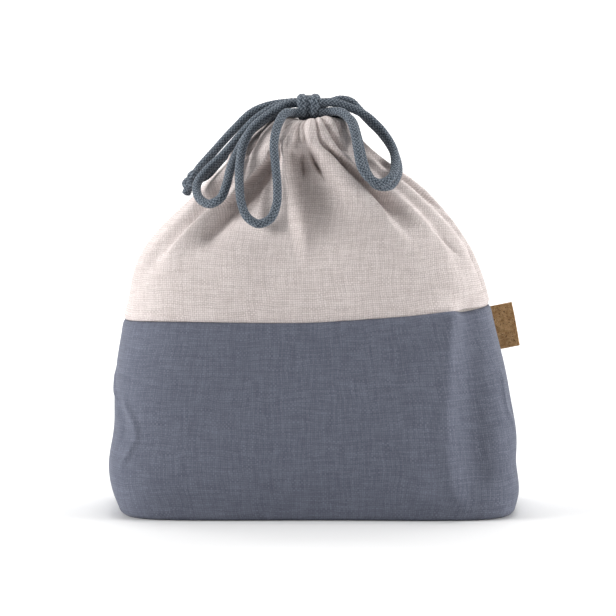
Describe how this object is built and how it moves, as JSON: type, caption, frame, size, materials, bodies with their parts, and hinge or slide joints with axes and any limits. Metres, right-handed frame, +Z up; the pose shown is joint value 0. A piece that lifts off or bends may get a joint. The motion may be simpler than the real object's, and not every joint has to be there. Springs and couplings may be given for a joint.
{
  "type": "bento bag",
  "caption": "Drawstring lunch bag: boxy coloured lower cloth, pale upper cloth gathered to a narrow neck by strings tied in a bow, with a folded label in the side seam.",
  "frame": {"origin": "middle of the flat base, on the surface that the bag stands on", "axes": "+Z up through the neck, -Y towards the front that carries the bow's loops, +X towards the side seam with the label"},
  "size_m": [0.2146, 0.108, 0.2147],
  "materials": {
    "lower_cloth": "matte plain-woven canvas",
    "upper_cloth": "matte natural plain-woven canvas",
    "binding_tape": "matte woven tape",
    "cord": "matte braided cotton",
    "cork": "matte flecked cork"
  },
  "bodies": {
    "bag": {"base_panel": "lower_cloth", "base_seam_binding": "binding_tape", "front_lower_panel": "lower_cloth", "back_lower_panel": "lower_cloth", "front_upper_panel": "upper_cloth", "front_casing": "upper_cloth", "front_band_binding": "binding_tape", "back_band_binding": "binding_tape", "left_seam_binding": "binding_tape", "right_seam_binding": "binding_tape", "left_string_front": "cord", "right_string_front": "cord", "bow_knot": "cord"},
    "back_lip": {"back_upper_panel": "upper_cloth", "back_casing": "upper_cloth", "left_string_back": "cord", "right_string_back": "cord", "right_tail_outer": "cord", "right_tail_inner": "cord", "right_stopper_knot": "cord"},
    "label": {"cork_label": "cork"},
    "left_bow": {"left_loop_long": "cord", "left_loop_short": "cord"},
    "right_bow": {"right_loop_front": "cord", "right_loop_back": "cord"},
    "left_tail": {"left_tail_upper": "cord", "left_tail_lower": "cord", "left_stopper_knot": "cord"}
  },
  "joints": [
    {"name": "mouth_loosen", "type": "slide", "parent": "bag", "child": "back_lip", "axis": [0, 1, 0], "range_m": [0, 0.018]},
    {"name": "label_flap", "type": "hinge", "parent": "bag", "child": "label", "pos_m": [0.0954, 0, 0.0938], "axis": [-0.1994, 0, 0.9799], "range_deg": [-65, 65], "stiffness_Nm_per_rad": 0.002},
    {"name": "left_bow_lift", "type": "hinge", "parent": "bag", "child": "left_bow", "pos_m": [-0.0086, -0.003, 0.213], "axis": [0, 1, 0], "range_deg": [0, 60]},
    {"name": "right_bow_lift", "type": "hinge", "parent": "bag", "child": "right_bow", "pos_m": [0.0056, -0.0055, 0.213], "axis": [0, -1, 0], "range_deg": [0, 60]},
    {"name": "left_tail_lift", "type": "hinge", "parent": "bag", "child": "left_tail", "pos_m": [-0.0086, 0.006, 0.213], "axis": [0, 1, 0], "range_deg": [0, 60]}
  ]
}
